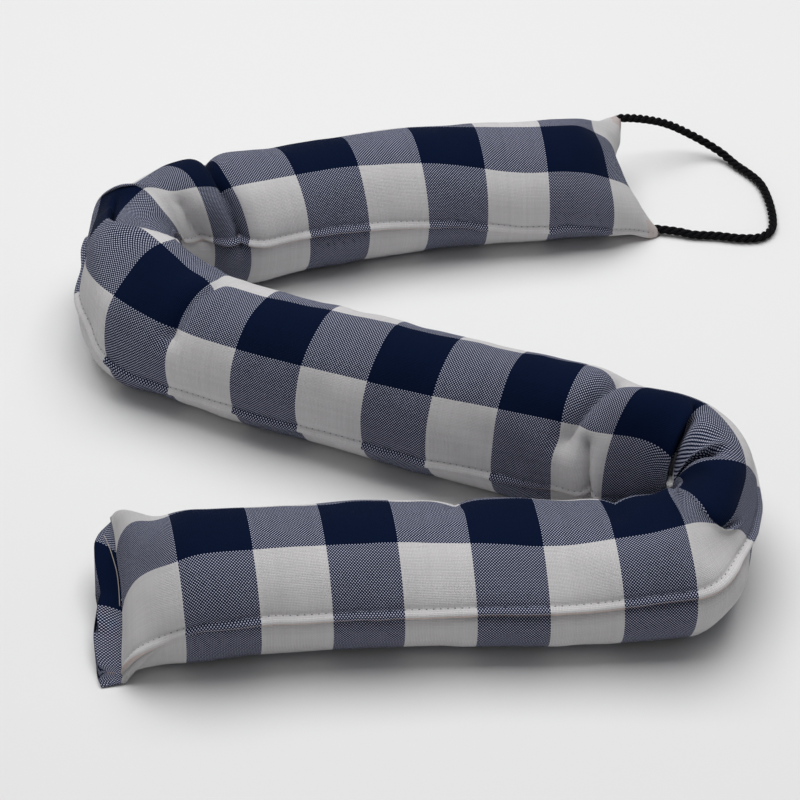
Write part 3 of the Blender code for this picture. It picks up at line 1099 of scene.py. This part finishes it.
def check_material(cloth, stitch):
    """Plain woven cotton: navy and white bands of yarn cross in both directions."""
    material, tree, shader = new_material("check_cotton", 0.88)
    along, across = cloth_uv(tree)
    half_panel = PANEL_CHECKS / 2
    shifted = sum_of(tree, "FLOORED_MODULO", sum_of(tree, "ADD", across, half_panel), PANEL_CHECKS)
    past_seam = sum_of(tree, "SUBTRACT", shifted, half_panel)
    seam_gap = sum_of(tree, "ABSOLUTE", past_seam)

    yarns = float(cloth.yarns)
    warp_place, weft_place = yarn_places(tree, yarns, along, across, past_seam)
    warp_index = sum_of(tree, "FLOOR", warp_place)
    weft_index = sum_of(tree, "FLOOR", weft_place)
    warp_over = sum_of(tree, "PINGPONG", sum_of(tree, "ADD", warp_index, weft_index), 1.0)
    warp_navy = sum_of(tree, "PINGPONG", sum_of(tree, "FLOOR", along), 1.0)
    row = sum_of(tree, "DIVIDE", sum_of(tree, "ADD", weft_index, 0.5), yarns)
    row_on_panel = sum_of(tree, "PINGPONG", row, PANEL_CHECKS)
    weft_navy = sum_of(tree, "COMPARE", row_on_panel, NAVY_ROW, NAVY_ROW_HALF)

    rounds = []
    for place in (warp_place, weft_place):
        turn = sum_of(tree, "MULTIPLY", sum_of(tree, "FRACT", place), math.pi)
        rounds.append(sum_of(tree, "SINE", turn))
    warp_height = yarn_height(tree, rounds[0], rounds[1])
    weft_height = yarn_height(tree, rounds[1], rounds[0])
    height = mix_of(tree, warp_over, weft_height, warp_height)

    pale_top = sum_of(tree, "SUBTRACT", 1.0, mix_of(tree, warp_over, weft_navy, warp_navy))
    mixed = sum_of(tree, "ABSOLUTE", sum_of(tree, "SUBTRACT", warp_navy, weft_navy))
    dot = sum_of(tree, "MULTIPLY_ADD", height, DOT_CONTRAST, DOT_LEVEL)
    dot_share = sum_of(tree, "MINIMUM", sum_of(tree, "MAXIMUM", dot, 0.0), 1.0)
    dot_or_plain = sum_of(tree, "MAXIMUM", dot_share, sum_of(tree, "SUBTRACT", 1.0, mixed))
    navy = sum_of(tree, "SUBTRACT", 1.0, sum_of(tree, "MULTIPLY", pale_top, dot_or_plain))

    weft_tone = yarn_tone(tree, weft_index, WEFT_SEED)
    warp_tone = yarn_tone(tree, warp_index, WARP_SEED)
    tone = mix_of(tree, warp_over, weft_tone, warp_tone)
    yarn = sum_of(tree, "MULTIPLY_ADD", tone, *YARN_SHADE)
    patch = sum_of(tree, "MULTIPLY_ADD", noise_of(tree, *PATCHES), *PATCH_SHADE)
    # The gap term darkens the colour where a yarn dips beside a crossing: painted shade between the
    # yarns, on top of the bump
    gap = sum_of(tree, "MULTIPLY_ADD", height, *GAP_PAINTED_SHADE)
    tone_and_gap_shade = sum_of(tree, "MULTIPLY", sum_of(tree, "MULTIPLY", yarn, patch), gap)

    white = blend_of(tree, mixed, cloth.white, cloth.crossed)
    tint = tinted_places(tree, along, across, seam_gap)
    pale = blend_of(tree, tint, white, cloth.selvedge)
    colour = blend_of(tree, navy, pale, cloth.navy)
    grey = tree.nodes.new("ShaderNodeCombineColor")
    for socket in grey.inputs:
        tree.links.new(tone_and_gap_shade, socket)
    shaded = blend_of(tree, 1.0, colour, grey.outputs[0], "MULTIPLY")
    tree.links.new(shaded, shader.inputs["Base Color"])
    shader.inputs["Sheen Weight"].default_value = 0.01
    shader.inputs["Sheen Roughness"].default_value = 0.5
    shader.inputs["Specular IOR Level"].default_value = 0.06

    slub = sum_of(tree, "MULTIPLY", noise_of(tree, *SLUBS), SLUB_HEIGHT)
    holes = needle_holes(tree, stitch, along, seam_gap)
    raised = sum_of(tree, "SUBTRACT", sum_of(tree, "ADD", height, slub), holes)
    add_bump(tree, shader, raised, cloth.yarn_relief)
    return material


def cord_material(cord):
    """Twisted black cord: fine plies wound round each strand."""
    material, tree, shader = new_material("black_cord", 0.75)
    along, around = cloth_uv(tree)
    winding = sum_of(tree, "MULTIPLY_ADD", around, STRAND_PLIES, along)
    ply = sum_of(tree, "SINE", sum_of(tree, "MULTIPLY", winding, 2.0 * math.pi))
    height = sum_of(tree, "MULTIPLY_ADD", ply, *PLY_RELIEF)
    fibre = sum_of(tree, "MULTIPLY_ADD", noise_of(tree, *CORD_FIBRES), CORD_FIBRE_HEIGHT, height)
    # The paler share follows the ply relief as well as the random fibre tone: the grooves between plies
    # get painted shade
    share = sum_of(tree, "MULTIPLY", fibre, CORD_TONE_AND_GROOVE_SHADE)
    pale = tuple(CORD_PALER * channel for channel in cord.colour)
    tree.links.new(blend_of(tree, share, cord.colour, pale), shader.inputs["Base Color"])
    shader.inputs["Sheen Weight"].default_value = 0.0
    shader.inputs["Specular IOR Level"].default_value = 0.12
    add_bump(tree, shader, fibre, CORD_RELIEF * MM)
    return material


def thread_material(name, colour):
    """Sewing thread with a fine twist."""
    material, tree, shader = new_material(name, 0.7)
    twist = noise_of(tree, *THREAD_FIBRES)
    pale = tuple(min(1.0, THREAD_PALER * channel) for channel in colour)
    tree.links.new(blend_of(tree, twist, colour, pale), shader.inputs["Base Color"])
    add_bump(tree, shader, twist, THREAD_RELIEF * MM)
    return material


def smooth_route(points, spacing):
    """Evenly spaced points of one smooth curve through the route's own points."""
    route = np.array(points, dtype=float)
    padded = np.vstack([2 * route[0] - route[1], route, 2 * route[-1] - route[-2]])
    fine = []
    samples = np.linspace(0.0, 1.0, ROUTE_STEPS, endpoint=False)[:, None]
    for before, start, end, after in zip(padded, padded[1:], padded[2:], padded[3:]):
        start_slope = 0.5 * (end - before)
        end_slope = 0.5 * (after - start)
        cubic = (2 * samples**3 - 3 * samples**2 + 1) * start
        cubic = cubic + (samples**3 - 2 * samples**2 + samples) * start_slope
        cubic = cubic + (3 * samples**2 - 2 * samples**3) * end
        cubic = cubic + (samples**3 - samples**2) * end_slope
        fine.append(cubic)
    fine = np.vstack(fine + [route[-1:]])
    lengths = np.concatenate([[0.0], np.cumsum(np.linalg.norm(np.diff(fine, axis=0), axis=1))])
    count = round(lengths[-1] / spacing)
    even = np.linspace(0.0, lengths[-1], count + 1)
    line = np.column_stack([np.interp(even, lengths, fine[:, axis]) for axis in range(3)])
    return line, even


def side_ways(line):
    """Two directions across a line at each of its points, without needless turning."""
    tangents = unit(np.gradient(line, axis=0))
    side = np.cross(tangents[0], (0.0, 0.0, 1.0))
    sides = []
    for tangent in tangents:
        side = unit(side - (side @ tangent) * tangent)
        sides.append(side)
    sides = np.array(sides)
    return sides, np.cross(sides, tangents)


def tube_rings(line, radius, count):
    """Rings of points round a line."""
    sides, ups = side_ways(line)
    angles = 2 * math.pi * np.arange(count) / count
    across = np.cos(angles)[None, :, None] * sides[:, None] + np.sin(angles)[None, :, None] * ups[:, None]
    return line[:, None] + radius * across


def stitch_tree(name, material, sizes):
    """Geometry Nodes that set one thread stitch after another along a line."""
    tree = bpy.data.node_groups.new(name, "GeometryNodeTree")
    interface = tree.interface
    interface.new_socket("Line", in_out="INPUT", socket_type="NodeSocketGeometry")
    sockets = {}
    for label, value in sizes.items():
        socket = interface.new_socket(label, in_out="INPUT", socket_type="NodeSocketFloat")
        socket.default_value = value
        sockets[label] = socket.identifier
    interface.new_socket("Stitches", in_out="OUTPUT", socket_type="NodeSocketGeometry")
    nodes, links = tree.nodes, tree.links
    inputs = nodes.new("NodeGroupInput")
    curve = nodes.new("GeometryNodeMeshToCurve")
    links.new(inputs.outputs["Line"], curve.inputs["Mesh"])
    spaced = nodes.new("GeometryNodeResampleCurve")
    spaced.mode = "LENGTH"
    links.new(curve.outputs["Curve"], spaced.inputs["Curve"])
    links.new(inputs.outputs["Pitch"], spaced.inputs["Length"])
    bead = nodes.new("GeometryNodeMeshUVSphere")
    bead.inputs["Segments"].default_value = 6
    bead.inputs["Rings"].default_value = 5
    bead.inputs["Radius"].default_value = 0.5
    size = nodes.new("ShaderNodeCombineXYZ")
    links.new(inputs.outputs["Thread"], size.inputs["X"])
    links.new(inputs.outputs["Thread"], size.inputs["Y"])
    links.new(inputs.outputs["Length"], size.inputs["Z"])
    turned = nodes.new("FunctionNodeAlignRotationToVector")
    turned.axis = "Z"
    tangent = nodes.new("GeometryNodeInputTangent")
    links.new(tangent.outputs["Tangent"], turned.inputs["Vector"])
    vary = nodes.new("FunctionNodeRandomValue")
    vary.data_type = "FLOAT"
    vary.inputs[2].default_value = STITCH_SIZES[0]
    vary.inputs[3].default_value = STITCH_SIZES[1]
    vary.inputs["Seed"].default_value = STITCH_SEED
    scale = nodes.new("ShaderNodeVectorMath")
    scale.operation = "SCALE"
    links.new(size.outputs["Vector"], scale.inputs[0])
    links.new(vary.outputs[1], scale.inputs["Scale"])
    placed = nodes.new("GeometryNodeInstanceOnPoints")
    links.new(spaced.outputs["Curve"], placed.inputs["Points"])
    links.new(bead.outputs["Mesh"], placed.inputs["Instance"])
    links.new(turned.outputs["Rotation"], placed.inputs["Rotation"])
    links.new(scale.outputs["Vector"], placed.inputs["Scale"])
    real = nodes.new("GeometryNodeRealizeInstances")
    links.new(placed.outputs["Instances"], real.inputs["Geometry"])
    smooth = nodes.new("GeometryNodeSetShadeSmooth")
    links.new(real.outputs["Geometry"], smooth.inputs["Geometry"])
    coloured = nodes.new("GeometryNodeSetMaterial")
    coloured.inputs["Material"].default_value = material
    links.new(smooth.outputs["Geometry"], coloured.inputs["Geometry"])
    outputs = nodes.new("NodeGroupOutput")
    links.new(coloured.outputs["Geometry"], outputs.inputs["Stitches"])
    return tree, sockets


def sew_along(name, lines, material, stitch):
    """Set stitches along lines of points and return them as one plain mesh object."""
    mesh = bmesh.new()
    for line in lines:
        verts = [mesh.verts.new(point) for point in line]
        for start, end in zip(verts, verts[1:]):
            mesh.edges.new((start, end))
    data = bpy.data.meshes.new(name + "_line")
    mesh.to_mesh(data)
    mesh.free()
    guide = bpy.data.objects.new(name + "_line", data)
    bpy.context.scene.collection.objects.link(guide)
    sizes = {"Pitch": stitch.pitch, "Length": stitch.length, "Thread": stitch.thread}
    tree, sockets = stitch_tree(name, material, sizes)
    modifier = guide.modifiers.new("Stitches", "NODES")
    modifier.node_group = tree
    for label, value in sizes.items():
        modifier[sockets[label]] = value
    depsgraph = bpy.context.evaluated_depsgraph_get()
    sewn = bpy.data.meshes.new_from_object(guide.evaluated_get(depsgraph))
    sewn.name = name
    bpy.data.objects.remove(guide, do_unlink=True)
    if not sewn.polygons:
        raise RuntimeError(f"no stitches were made for {name}")
    return place_object(name, sewn, material)


class EXCLUDER_OT_cover(bpy.types.Operator):
    """Make the stuffed cover of check cotton"""

    bl_idname = "excluder.cover"
    bl_label = "Cover"

    def execute(self, context):
        cloth = context.scene.excluder_cloth
        stations = station_places()
        across = across_places()
        points = cover_points(cloth, stations, across)
        data = skin_grid("cover_cloth", points, stations, across, True, 2 * PANEL_CHECKS)
        cover = place_object("cover_cloth", data, check_material(cloth, context.scene.excluder_stitch))
        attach(cover, BODY)
        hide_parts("cover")
        return {"FINISHED"}


def finished_cover():
    """Rows and columns of the finished cover's points, its outward directions and its places."""
    cover = bpy.data.objects.get("cover_cloth")
    if cover is None:
        raise RuntimeError("the cover is made before its sewing")
    stations = station_places()
    across = across_places()
    flat = np.empty(len(cover.data.vertices) * 3)
    cover.data.vertices.foreach_get("co", flat)
    points = flat.reshape(len(stations), len(across), 3)
    return points, cloth_directions(points)[2], stations, across


class EXCLUDER_OT_stitches(bpy.types.Operator):
    """Sew both edges of the cover"""

    bl_idname = "excluder.stitches"
    bl_label = "Edge stitches"

    def execute(self, context):
        stitch = context.scene.excluder_stitch
        points, outward, stations, across = finished_cover()
        sewn = (stations > EDGE_SEWN[0]) & (stations < EDGE_SEWN[1])
        lines = []
        for place in (STITCH_GAP / CHECK, PANEL_CHECKS - STITCH_GAP / CHECK):
            column = int(np.argmin(np.abs(across - place)))
            lines.append((points + STITCH_LIFT * stitch.thread * outward)[sewn, column])
        material = thread_material("edge_thread", stitch.edge_colour)
        item = sew_along("edge_stitches", lines, material, stitch)
        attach(item, BODY)
        return {"FINISHED"}


class EXCLUDER_OT_hem_thread(bpy.types.Operator):
    """Sew the hemmed end shut and leave its loose thread"""

    bl_idname = "excluder.hem_thread"
    bl_label = "Hem thread"

    def execute(self, context):
        stitch = context.scene.excluder_stitch
        points, outward, stations, across = finished_cover()
        material = thread_material("hem_thread", stitch.hem_colour)
        rows = np.interp([mark.station for mark in LOOSE_THREAD], stations, np.arange(len(stations)))
        columns = np.interp([mark.across for mark in LOOSE_THREAD], across, np.arange(len(across)))
        lift = np.array([mark.lift for mark in LOOSE_THREAD])[:, None] * MM
        marks = [round(row) for row in rows], [round(column) for column in columns]
        line = smooth_route((points[marks] + lift * outward[marks]) / MM, LOOSE_STEP)[0] * MM
        rings = tube_rings(line, LOOSE_RADIUS * stitch.thread, LOOSE_SIDES)
        turns = np.arange(LOOSE_SIDES) / LOOSE_SIDES
        data = skin_grid("loose_thread", rings, np.arange(len(rings)), turns, False, 1.0)
        loose = place_object("loose_thread", data, material)
        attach(loose, BODY)
        seam = int(np.argmin(np.abs(stations - HEM_SEAM)))
        held = (across > HEM_STITCHED[0]) & (across < HEM_STITCHED[1])
        line = (points + STITCH_LIFT * stitch.thread * outward)[seam, held]
        sewn = sew_along("hem_stitches", [line], material, stitch)
        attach(sewn, BODY)
        return {"FINISHED"}


class EXCLUDER_OT_cord(bpy.types.Operator):
    """Make the twisted cord loop"""

    bl_idname = "excluder.cord"
    bl_label = "Cord loop"

    def execute(self, context):
        cord = context.scene.excluder_cord
        line, distances = smooth_route(CORD_ROUTE, ROPE_STEP)
        line = (line - np.array(FLOOR_MIDDLE)) * MM
        line[:, 2] = np.maximum(line[:, 2], 0.5 * cord.diameter + STRAND_SWELL * MM)
        distances = distances * MM
        sides, ups = side_ways(line)
        reach = STRAND_REACH * cord.diameter
        radius = 0.5 * cord.diameter - reach + STRAND_SWELL * MM
        turns = np.arange(STRAND_SIDES) / STRAND_SIDES
        merged = bmesh.new()
        for strand in range(cord.strands):
            angle = 2 * math.pi * (distances / cord.lay + strand / cord.strands)
            centre = line + reach * (np.cos(angle)[:, None] * sides + np.sin(angle)[:, None] * ups)
            rings = tube_rings(centre, radius, STRAND_SIDES)
            data = skin_grid("strand", rings, distances / (PLY_LAY * MM), turns, False, 1.0)
            merged.from_mesh(data)
            bpy.data.meshes.remove(data)
        data = bpy.data.meshes.new("rope_loop")
        merged.to_mesh(data)
        merged.free()
        rope = place_object("rope_loop", data, cord_material(cord))
        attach(rope, BODY)
        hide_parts("cord_loop")
        return {"FINISHED"}


class EXCLUDER_OT_stage(bpy.types.Operator):
    """Make the floor, the lights and the camera"""

    bl_idname = "excluder.stage"
    bl_label = "Stage"

    def execute(self, context):
        stage = context.scene.excluder_stage
        scene = context.scene
        mesh = bmesh.new()
        bmesh.ops.create_grid(mesh, x_segments=1, y_segments=1, size=FLOOR_REACH)
        data = bpy.data.meshes.new("floor")
        mesh.to_mesh(data)
        mesh.free()
        material, _tree, shader = new_material("floor_paint", 0.9)
        shader.inputs["Base Color"].default_value = (*stage.floor_colour, 1.0)
        floor = place_object("floor", data, material)
        floor.location.z = -FLOOR_DROP * MM
        world = bpy.data.worlds.new("room")
        world.use_nodes = True
        background = world.node_tree.nodes["Background"]
        background.inputs["Color"].default_value = (1.0, 1.0, 1.0, 1.0)
        background.inputs["Strength"].default_value = stage.sky
        scene.world = world
        scene.view_settings.view_transform = "Standard"
        for name, power, size, place in (
            ("overhead_light", stage.overhead, 1.6, (0.0, 0.3, 1.5)),
            ("front_light", stage.front, 0.8, (-0.9, -0.8, 0.8)),
        ):
            light = bpy.data.lights.new(name, "AREA")
            light.energy = power
            light.size = size
            lamp = bpy.data.objects.new(name, light)
            lamp.location = place
            lamp.rotation_euler = (-Vector(place)).to_track_quat("-Z", "Y").to_euler()
            scene.collection.objects.link(lamp)
        camera = bpy.data.cameras.new("camera")
        camera.lens = VIEW_LENS
        camera.sensor_width = SENSOR_WIDTH
        eye = bpy.data.objects.new("camera", camera)
        back = Vector((0.0, -math.cos(VIEW_ELEVATION), math.sin(VIEW_ELEVATION)))
        eye.location = (Vector(VIEW_TARGET) + VIEW_DISTANCE * back) * MM
        eye.rotation_euler = (-back).to_track_quat("-Z", "Y").to_euler()
        scene.collection.objects.link(eye)
        scene.camera = eye
        return {"FINISHED"}


class EXCLUDER_PT_panel(bpy.types.Panel):
    """Lists the pieces of the draught excluder"""

    bl_label = "Draught excluder"
    bl_idname = "EXCLUDER_PT_panel"
    bl_space_type = "VIEW_3D"
    bl_region_type = "UI"
    bl_category = "Excluder"

    def draw(self, context):
        scene = context.scene
        for settings, operators in (
            (scene.excluder_stage, (EXCLUDER_OT_stage,)),
            (scene.excluder_cord, (EXCLUDER_OT_cord,)),
            (scene.excluder_cloth, (EXCLUDER_OT_cover,)),
            (scene.excluder_stitch, (EXCLUDER_OT_stitches, EXCLUDER_OT_hem_thread)),
        ):
            box = self.layout.box()
            for name in settings.__annotations__:
                box.prop(settings, name)
            for operator in operators:
                box.operator(operator.bl_idname)


CLASSES = (
    ClothSettings,
    StitchSettings,
    CordSettings,
    StageSettings,
    EXCLUDER_OT_stage,
    EXCLUDER_OT_cord,
    EXCLUDER_OT_cover,
    EXCLUDER_OT_stitches,
    EXCLUDER_OT_hem_thread,
    EXCLUDER_PT_panel,
)
SETTINGS = (
    ("excluder_cloth", ClothSettings),
    ("excluder_stitch", StitchSettings),
    ("excluder_cord", CordSettings),
    ("excluder_stage", StageSettings),
)


def register():
    """Register the classes and give the scene their settings."""
    for item in CLASSES:
        bpy.utils.register_class(item)
    for name, settings in SETTINGS:
        setattr(bpy.types.Scene, name, PointerProperty(type=settings))


def unregister():
    """Take the settings and classes away again."""
    for name, _settings in reversed(SETTINGS):
        delattr(bpy.types.Scene, name)
    for item in reversed(CLASSES):
        bpy.utils.unregister_class(item)


def main():
    """Make every piece, one after another."""
    register()
    bpy.ops.excluder.stage()
    bpy.ops.excluder.cord()
    bpy.ops.excluder.cover()
    bpy.ops.excluder.stitches()
    bpy.ops.excluder.hem_thread()


if __name__ == "__main__":
    main()
